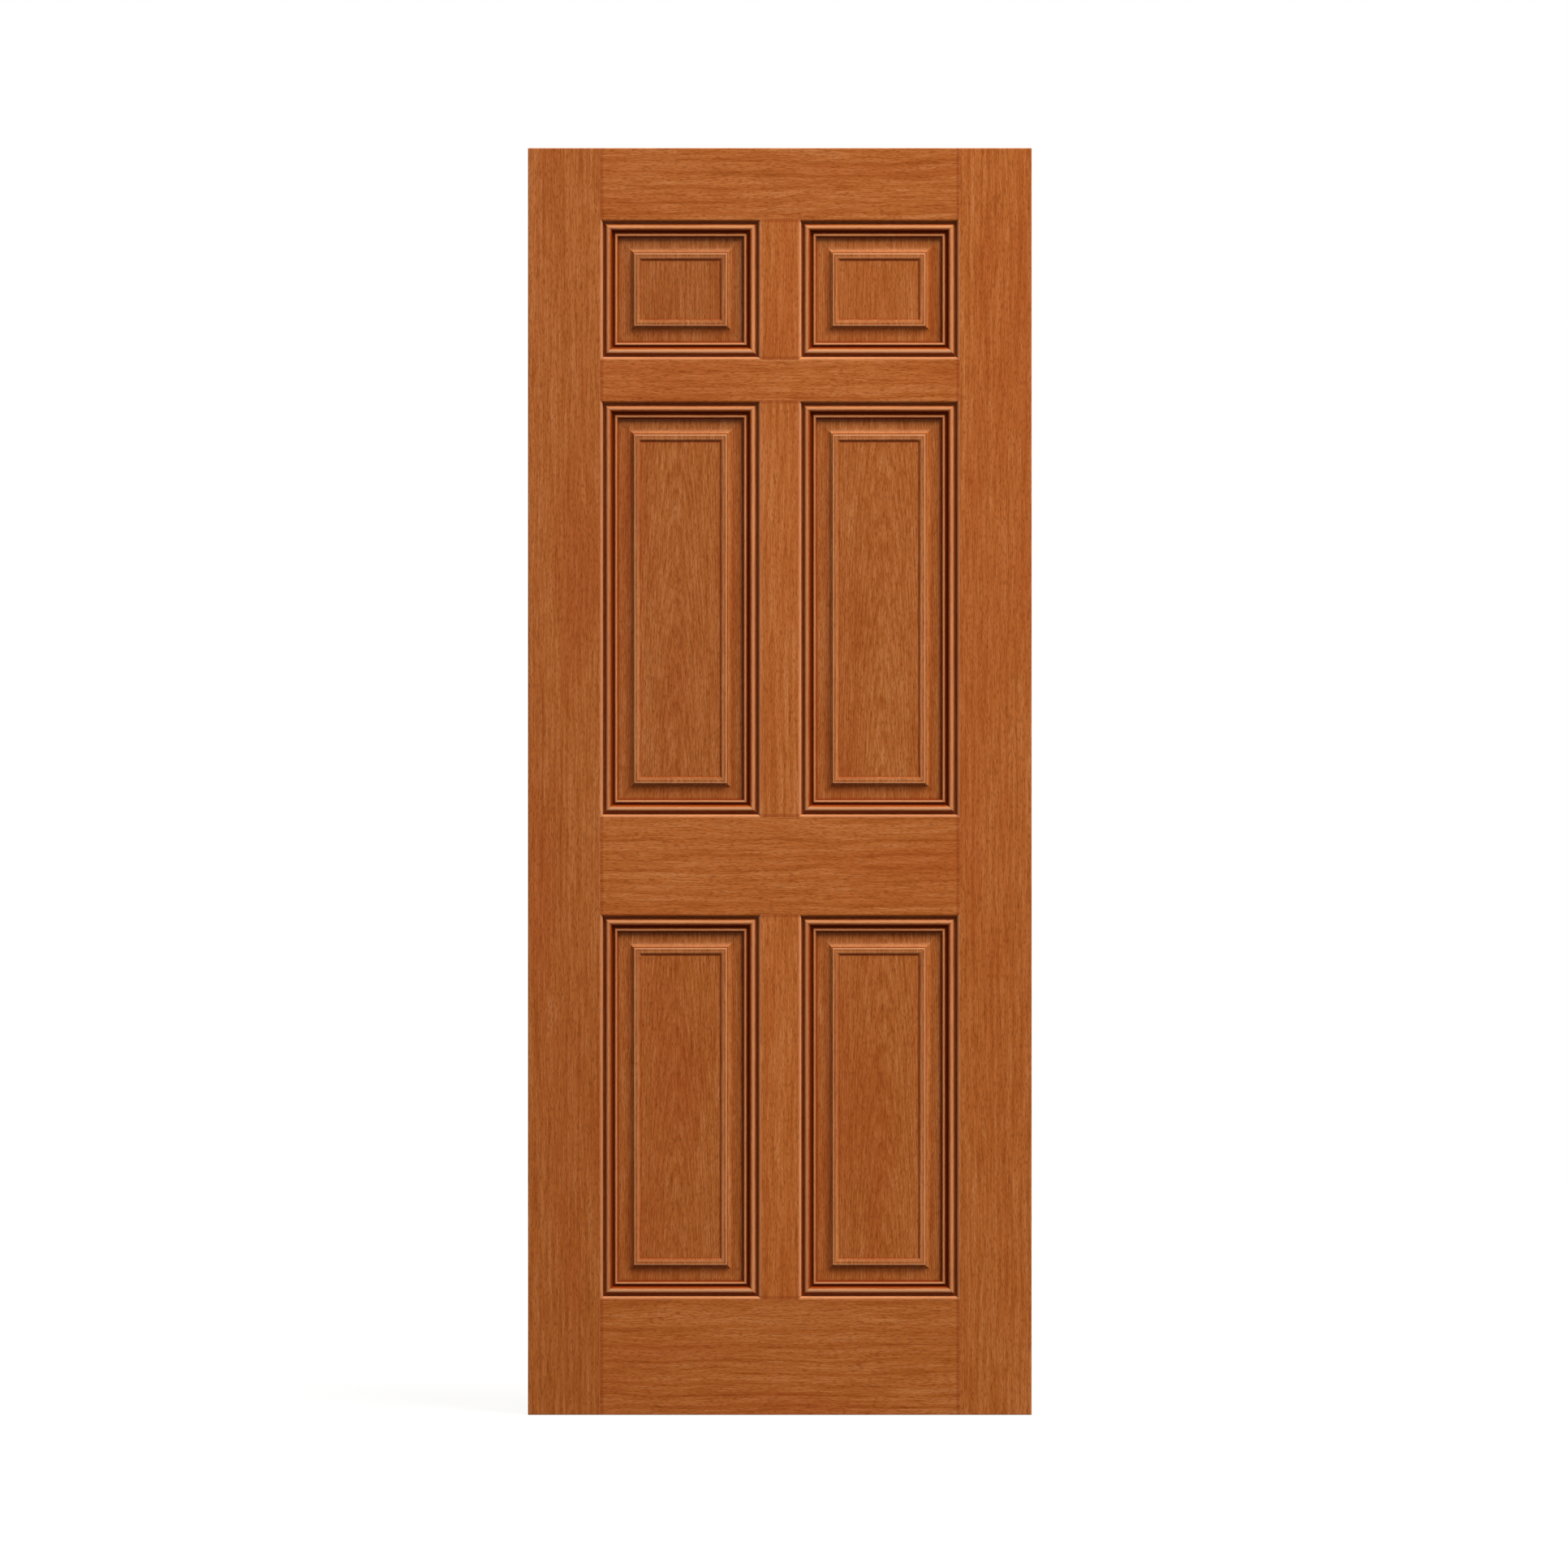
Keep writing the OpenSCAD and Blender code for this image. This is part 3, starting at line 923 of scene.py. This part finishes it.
@dataclass
class RaisedPanel:
    """A panel that rises from its margin by a cove and a step to a sunk field, on both faces.

    Sizes are in mm.

    Attributes:
        row: The panel's row.
        side: The panel's side.
        moulding_w: Width of the moulding that covers the panel's edge.
        margin_w: Width of the flat margin.
        cove_r: Radius of the cove.
        cove_w: Width of the cove.
        ledge_w: Width of the ledge above the cove.
        rim_step: Height of the step up to the rim.
        rim_ease: Radius of the rim's eased edge.
        rim_w: Width of the rim.
        ovolo_w: Width of the ovolo that rounds down to the sunk field.
        ovolo_drop: Drop of the ovolo.
        field_quirk: Height of the square quirk at the ovolo's foot.
        arc_steps: Chords in the cove and in the ovolo.
    """

    row: str
    side: str
    moulding_w: float = 24.4
    margin_w: float = 15.6
    cove_r: float = 10.5
    cove_w: float = 8.4
    ledge_w: float = 1.6
    rim_step: float = 2.0
    rim_ease: float = 0.6
    rim_w: float = 4.6
    ovolo_w: float = 6.0
    ovolo_drop: float = 1.9
    field_quirk: float = 0.7
    arc_steps: int = 14

    @property
    def node(self) -> str:
        """The panel's node."""
        return f"{self.row}_{self.side}_panel"

    @property
    def cove_rise(self) -> float:
        """Height of the cove over the margin."""
        return self.cove_r - math.sqrt(self.cove_r**2 - self.cove_w**2)

    @property
    def ovolo_r(self) -> float:
        """Radius of the ovolo."""
        return (self.ovolo_w**2 + self.ovolo_drop**2) / (2 * self.ovolo_drop)

    def relief(self, cove_painted_light: float = 0.0, rim_painted_light: float = 0.0) -> list[Point3]:
        """Draws the relief from the panel's edge inwards, along one of its sides.

        Args:
            cove_painted_light: How much the margin and the cove are paled as painted highlight, and
                the ledge darkened as painted shade, on a side that the lamp lights.
            rim_painted_light: How much the rim's edge is paled as painted highlight, and the quirk
                at the field's edge darkened as painted shade, on a side that the lamp lights.

        Returns:
            Each ring's distance from the panel's edge, height over the margin and depth of stain
            and painted light.
        """
        lip = Joinery.panel_tongue + self.moulding_w
        cove = lip + self.margin_w
        rim = cove + self.cove_w + self.ledge_w
        top = self.cove_rise + self.rim_step
        ovolo = rim + self.rim_w
        sunk = ovolo + self.ovolo_w
        floor = top - self.ovolo_drop - self.field_quirk
        turn = math.degrees(math.asin(self.cove_w / self.cove_r))
        # The margin: stain gathers against the moulding and at the cove's foot, painting the shade
        # that falls there.
        rings = [(0.0, 0.0, 0.0), (lip - 1.0, 0.0, 1.0), (lip + 0.6, 0.0, 0.6)]
        rings += [(lip + 2.5, 0.0, 0.15), (lip + 6.0, 0.0, 0.0)]
        rings.append((cove - 4.0, 0.0, 0.15 - cove_painted_light / 2))
        # The cove pales towards its top, a painted highlight, and the ledge darkens towards the
        # step, painted shade; cove_painted_light adds to both on a side that the lamp lights.
        for d, h in arc((cove, self.cove_r), self.cove_r, -90, -90 + turn, self.arc_steps):
            part = (d - cove) / self.cove_w
            rings.append((d, h, 0.3 - 0.4 * part - cove_painted_light * (1 - 0.85 * part**2)))
        rings += [(rim - 1.2, self.cove_rise, 0.1 + cove_painted_light), (rim, self.cove_rise, 0.6)]
        # The rim's edge is paled as a painted highlight, more so by rim_painted_light on a side
        # that the lamp lights.
        ease = self.rim_ease
        for d, h in arc((rim + ease, top - ease), ease, 180, 90, 4):
            rings.append((d, h, 0.5 - (d - rim) / ease - rim_painted_light))
        rings += [(rim + 1.6, top, -0.4 - rim_painted_light), (rim + 3.0, top, 0.0)]
        # The ovolo's round is paled as a painted highlight, and the quirk at its foot is darkened
        # as painted shade, more so by rim_painted_light on a side that the lamp lights.
        turn = math.degrees(math.asin(self.ovolo_w / self.ovolo_r))
        for d, h in arc((ovolo, top - self.ovolo_r), self.ovolo_r, 90, 90 - turn, self.arc_steps):
            part = (d - ovolo) / self.ovolo_w
            rings.append((d, h, 0.5 * part**4 - 1.6 * part * (1 - part) ** 2))
        rings += [(sunk, floor, 0.6 + rim_painted_light), (sunk + 0.8, floor, 0.2 + 2 * rim_painted_light)]
        rings.append((sunk + 3.0, floor, 0.0))
        return rings

    def build(self) -> bpy.types.Object:
        """Builds both faces as rings that step in from the panel's edge.

        Returns:
            The panel.
        """
        low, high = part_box(self.node)
        # The right and upper sides look towards the lamp and take more painted light: a paler rim
        # edge and a darker field quirk, and on the upper side a paler cove and a darker ledge as
        # well.
        lower = left = self.relief()
        right, upper = self.relief(rim_painted_light=0.2), self.relief(cove_painted_light=0.35, rim_painted_light=0.35)
        sides = (lower, right, upper, left)
        top = max(h for _, h, _ in lower)
        core = (high.y - low.y) / 2 - top * MM
        middle = (high.y + low.y) / 2
        bm = bmesh.new()
        stain = bm.loops.layers.float.new(STAIN_AND_LIGHT_ATTRIBUTE)
        edges = []
        for face in Face:
            rings = []
            for d, h, _ in lower:
                y = middle + face.value * (core + h * MM)
                x0, x1, z0, z1 = low.x + d * MM, high.x - d * MM, low.z + d * MM, high.z - d * MM
                corners = ((x0, y, z0), (x1, y, z0), (x1, y, z1), (x0, y, z1))
                rings.append([bm.verts.new(corner) for corner in corners])
            for step, (outer, inner) in enumerate(zip(rings, rings[1:])):
                for side, joined in zip(sides, self._bridge(bm, outer, inner)):
                    for loop, ring in zip(joined.loops, (step, step, step + 1, step + 1)):
                        loop[stain] = side[ring][2]
            bm.faces.new(rings[-1])
            edges.append(rings[0])
        self._bridge(bm, edges[0], edges[1])
        sharpen(bm, PANEL_CREASE)
        return mesh_piece(f"{self.node}_board", bm, self.node)

    def _bridge(
        self,
        bm: bmesh.types.BMesh,
        outer: Sequence[bmesh.types.BMVert],
        inner: Sequence[bmesh.types.BMVert],
    ) -> list[bmesh.types.BMFace]:
        """Joins two rings of four corners by four faces.

        Args:
            bm: The mesh.
            outer: The outer ring.
            inner: The inner ring.

        Returns:
            The faces, from the lower side round, each with its two outer corners first.
        """
        turns = [(i, (i + 1) % 4) for i in range(4)]
        return [bm.faces.new((outer[i], outer[j], inner[j], inner[i])) for i, j in turns]

    def dress(self, obj: bpy.types.Object, finish: StainedMahogany, cut: LogCut) -> None:
        """Gives the panel its timber.

        Args:
            obj: The panel.
            finish: The timber and its surface.
            cut: Where in its log the panel was sawn.
        """
        name = f"mahogany_stained_{self.node}"
        obj.data.materials.append(finish.material(name, cut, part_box(self.node)))


@dataclass
class PegSet:
    """The pegs of one rail or mullion, hidden in the joints.

    Attributes:
        node: The pegs' node.
    """

    node: str

    def dress(self, material: bpy.types.Material) -> None:
        """Gives the pegs their bare beech.

        Args:
            material: The beech.
        """
        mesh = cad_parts[self.node].data
        mesh.materials.clear()
        mesh.materials.append(material)
        LOG.info("dressed %s", self.node)


@dataclass
class Studio:
    """Floor, light and camera around the leaf. Sizes are in metres.

    Attributes:
        view_width: Width that the picture spans at the leaf's front face.
        view_centre: Place on the front face at the middle of the picture, across and up.
        camera_distance: Distance of the camera from the front face.
        sensor_width: Width of the camera's sensor, in mm.
        floor_size: Side of the floor.
        floor_colour: Colour of the floor under the lamps, dark enough that its shadow stays faint.
        floor_glow: Light that the floor adds to what it reflects, near the leaf and far from it.
        pool: Distances from the leaf where the near light ends and the far light starts.
        key_place: Place of the main lamp, up and to the right.
        key_size: Side of the main lamp.
        key_power: Power of the main lamp, in watts.
        fill_place: Place of the soft lamp in front.
        fill_size: Side of the soft lamp.
        fill_power: Power of the soft lamp, in watts.
        back_place: Place of the lamp that lights the back face.
        back_size: Side of that lamp.
        back_power: Power of that lamp, in watts.
        room_light: Strength of the even light from all around.
        room_tint: Colour of that light, warmed by the timber around a leaf in its workshop.
    """

    view_width: float = 2.515
    view_centre: Point2 = (0.0067, 1.012)
    camera_distance: float = 14.0
    sensor_width: float = 36.0
    floor_size: float = 16.0
    floor_colour: str = "#4c4c4c"
    floor_glow: Point2 = (0.92, 1.0)
    pool: Point2 = (0.6, 3.0)
    key_place: Point3 = (6.6, -6.2, 12.9)
    key_size: float = 9.0
    key_power: float = 4470.0
    fill_place: Point3 = (-1.0, -6.0, 2.2)
    fill_size: float = 3.0
    fill_power: float = 40.0
    back_place: Point3 = (-3.0, 4.5, 1.8)
    back_size: float = 2.0
    back_power: float = 300.0
    room_light: float = 0.19
    room_tint: str = "#ffd594"

    def build(self) -> None:
        """Builds the floor, the room's light, the lamps and the camera."""
        bpy.context.scene.view_settings.view_transform = "Standard"
        self._floor()
        self._room()
        target = (CAD_BOX[0] + CAD_BOX[1]) / 2
        self._lamp("key_lamp", self.key_place, self.key_size, self.key_power, target)
        self._lamp("fill_lamp", self.fill_place, self.fill_size, self.fill_power, target)
        back = self._lamp("back_lamp", self.back_place, self.back_size, self.back_power, target)
        back.visible_glossy = False
        self._camera()
        LOG.info("built the studio")

    def _floor(self) -> None:
        """Lays a pale floor that reads as white and keeps the leaf's shadow."""
        half = self.floor_size / 2
        mesh = bpy.data.meshes.new("floor")
        corners = [(-half, -half, 0.0), (half, -half, 0.0), (half, half, 0.0), (-half, half, 0.0)]
        mesh.from_pydata(corners, [], [(0, 1, 2, 3)])
        floor = bpy.data.objects.new("floor", mesh)
        bpy.context.collection.objects.link(floor)
        material, tree = new_material("paper_matte_white")
        matte = add_node(tree, "BsdfDiffuse", {"Color": linear(self.floor_colour)})
        place = add_node(tree, "TexCoord").outputs["Object"]
        away = add_node(tree, "VectorMath", {0: place}, operation="LENGTH").outputs["Value"]
        pool = add_node(
            tree, "MapRange",
            {
                "Value": away, "From Min": self.pool[0], "From Max": self.pool[1],
                "To Min": self.floor_glow[0], "To Max": self.floor_glow[1],
            },
            interpolation_type="SMOOTHSTEP",
        ).outputs[0]
        strength = add_node(
            tree, "Math", {0: self._seen_ray(tree), 1: pool}, operation="MULTIPLY"
        ).outputs[0]
        glow = add_node(tree, "Emission", {"Color": linear(WHITE), "Strength": strength})
        lift = add_node(tree, "AddShader", {0: matte.outputs[0], 1: glow.outputs[0]})
        add_node(tree, "OutputMaterial", {"Surface": lift.outputs[0]})
        mesh.materials.append(material)

    def _seen_ray(self, tree: Tree) -> Socket:
        """Tells the rays that the camera sees from those that only light the leaf.

        Args:
            tree: The nodes of the floor or the room.

        Returns:
            1 on a ray from the camera, or on its reflection or refraction, and 0 on others.
        """
        path = add_node(tree, "LightPath").outputs
        first = add_node(
            tree, "Math", {0: path["Is Camera Ray"], 1: path["Is Glossy Ray"]}, operation="MAXIMUM"
        ).outputs[0]
        return add_node(
            tree, "Math", {0: first, 1: path["Is Transmission Ray"]}, operation="MAXIMUM"
        ).outputs[0]

    def _room(self) -> None:
        """Sets the room: white to the camera, and a soft even light on the leaf."""
        world = bpy.data.worlds.new("room")
        bpy.context.scene.world = world
        world.use_nodes = True
        tree = world.node_tree
        tree.nodes.clear()
        seen = self._seen_ray(tree)
        strength = add_node(
            tree, "MapRange", {"Value": seen, "To Min": self.room_light, "To Max": 1.0}
        ).outputs[0]
        tint = add_node(
            tree, "Mix", {0: seen, 6: linear(self.room_tint), 7: linear(WHITE)}, data_type="RGBA"
        ).outputs[2]
        light = add_node(tree, "Background", {"Color": tint, "Strength": strength})
        add_node(tree, "OutputWorld", {"Surface": light.outputs[0]})

    def _lamp(
        self, name: str, place: Point3, size: float, power: float, target: Vector
    ) -> bpy.types.Object:
        """Hangs a square lamp that points at the leaf.

        Args:
            name: The lamp's name.
            place: Where it hangs.
            size: Its side.
            power: Its power in watts.
            target: The place that it points at.

        Returns:
            The lamp.
        """
        data = bpy.data.lights.new(name, "AREA")
        data.size = size
        data.energy = power
        lamp = bpy.data.objects.new(name, data)
        lamp.location = place
        lamp.rotation_euler = (target - Vector(place)).to_track_quat("-Z", "Y").to_euler()
        bpy.context.collection.objects.link(lamp)
        return lamp

    def _camera(self) -> None:
        """Sets the camera square to the front face, with the photograph's framing."""
        data = bpy.data.cameras.new("camera")
        data.sensor_width = self.sensor_width
        data.lens = self.sensor_width * self.camera_distance / self.view_width
        data.clip_end = 100.0
        camera = bpy.data.objects.new("camera", data)
        across, up = self.view_centre
        camera.location = (across, CAD_BOX[0].y - self.camera_distance, up)
        camera.rotation_euler = (math.radians(90.0), 0.0, 0.0)
        bpy.context.collection.objects.link(camera)
        bpy.context.scene.camera = camera


def board_plan() -> list[Board]:
    """Lists the stiles, rails and mullions with the cut of each.

    Returns:
        The boards.
    """
    boards = [
        # The left stile takes a darker tone than the right one: painted shade, as the light falls
        # from the right.
        Board("left_stile", LogCut(Grain.UPRIGHT, 90.0, 130.0, 0.3, 1, 0.94), False, (1,)),
        Board("right_stile", LogCut(Grain.UPRIGHT, 110.0, -120.0, -0.3, 2, 1.03), False, (0,)),
    ]
    tones = {"top": 1.0, "frieze": 1.04, "lock": 1.05, "bottom": 1.02}
    for seed, rail in enumerate(RAILS, 3):
        cut = LogCut(
            Grain.ACROSS, 100.0, 90.0, 0.5, seed, tones[rail],
            figure=0.2, ring_mm=16.0, wander_mm=9.0,
        )
        # Each rail below the top one has only its upper edge paled, where it looks up to the lamp:
        # wiped stain and a painted highlight.
        boards.append(Board(f"{rail}_rail", cut, True, () if rail == "top" else (1,)))
    for seed, row in enumerate(ROWS, 7):
        cut = LogCut(Grain.UPRIGHT, 95.0, 70.0, 0.3, seed, 1.09 if row == "bottom" else 1.05)
        boards.append(Board(f"{row}_mullion", cut, True, (0, 1)))
    return boards


def panel_cut(row: str, side: str, seed: int) -> LogCut:
    """Chooses a panel's place in its log: tall panels show arches, top ones straight streaks.

    Args:
        row: The panel's row.
        side: The panel's side.
        seed: Number of the log.

    Returns:
        The cut.
    """
    # Each row's left panel takes a darker tone than its right one, which partly paints the fall of
    # light from the right.
    tones = {"top": (0.84, 0.96), "middle": (0.9, 0.95), "bottom": (0.95, 0.98)}
    return LogCut(
        Grain.UPRIGHT,
        pith_depth=60.0,
        pith_shift=8.0 if side == "left" else -6.0,
        lean=-0.8 if row == "top" else -3.4,
        seed=seed,
        tone=tones[row][SIDES.index(side)],
        figure=0.26,
        ring_mm=3.2,
        wander_mm=3.0,
    )


def main() -> None:
    """Builds and dresses the leaf's pieces in order, then the studio around it."""
    logging.basicConfig(level=logging.INFO, format="%(name)s: %(message)s")
    finish = StainedMahogany()
    for board in board_plan():
        board.dress(finish)
    for number, (row, side) in enumerate(product(ROWS, SIDES)):
        panel = RaisedPanel(row, side)
        panel.dress(panel.build(), finish, panel_cut(row, side, PANEL_LOGS + 2 * number))
        for face in Face:
            moulding = PlantedMoulding(row, side, face)
            moulding.dress(moulding.build(), finish, MOULDING_LOGS + 2 * number)
    beech = BeechPeg().material()
    for pegged in [f"{rail}_rail" for rail in RAILS] + [f"{row}_mullion" for row in ROWS]:
        PegSet(f"{pegged}_dowels").dress(beech)
    Studio().build()


if __name__ == "__main__":
    main()
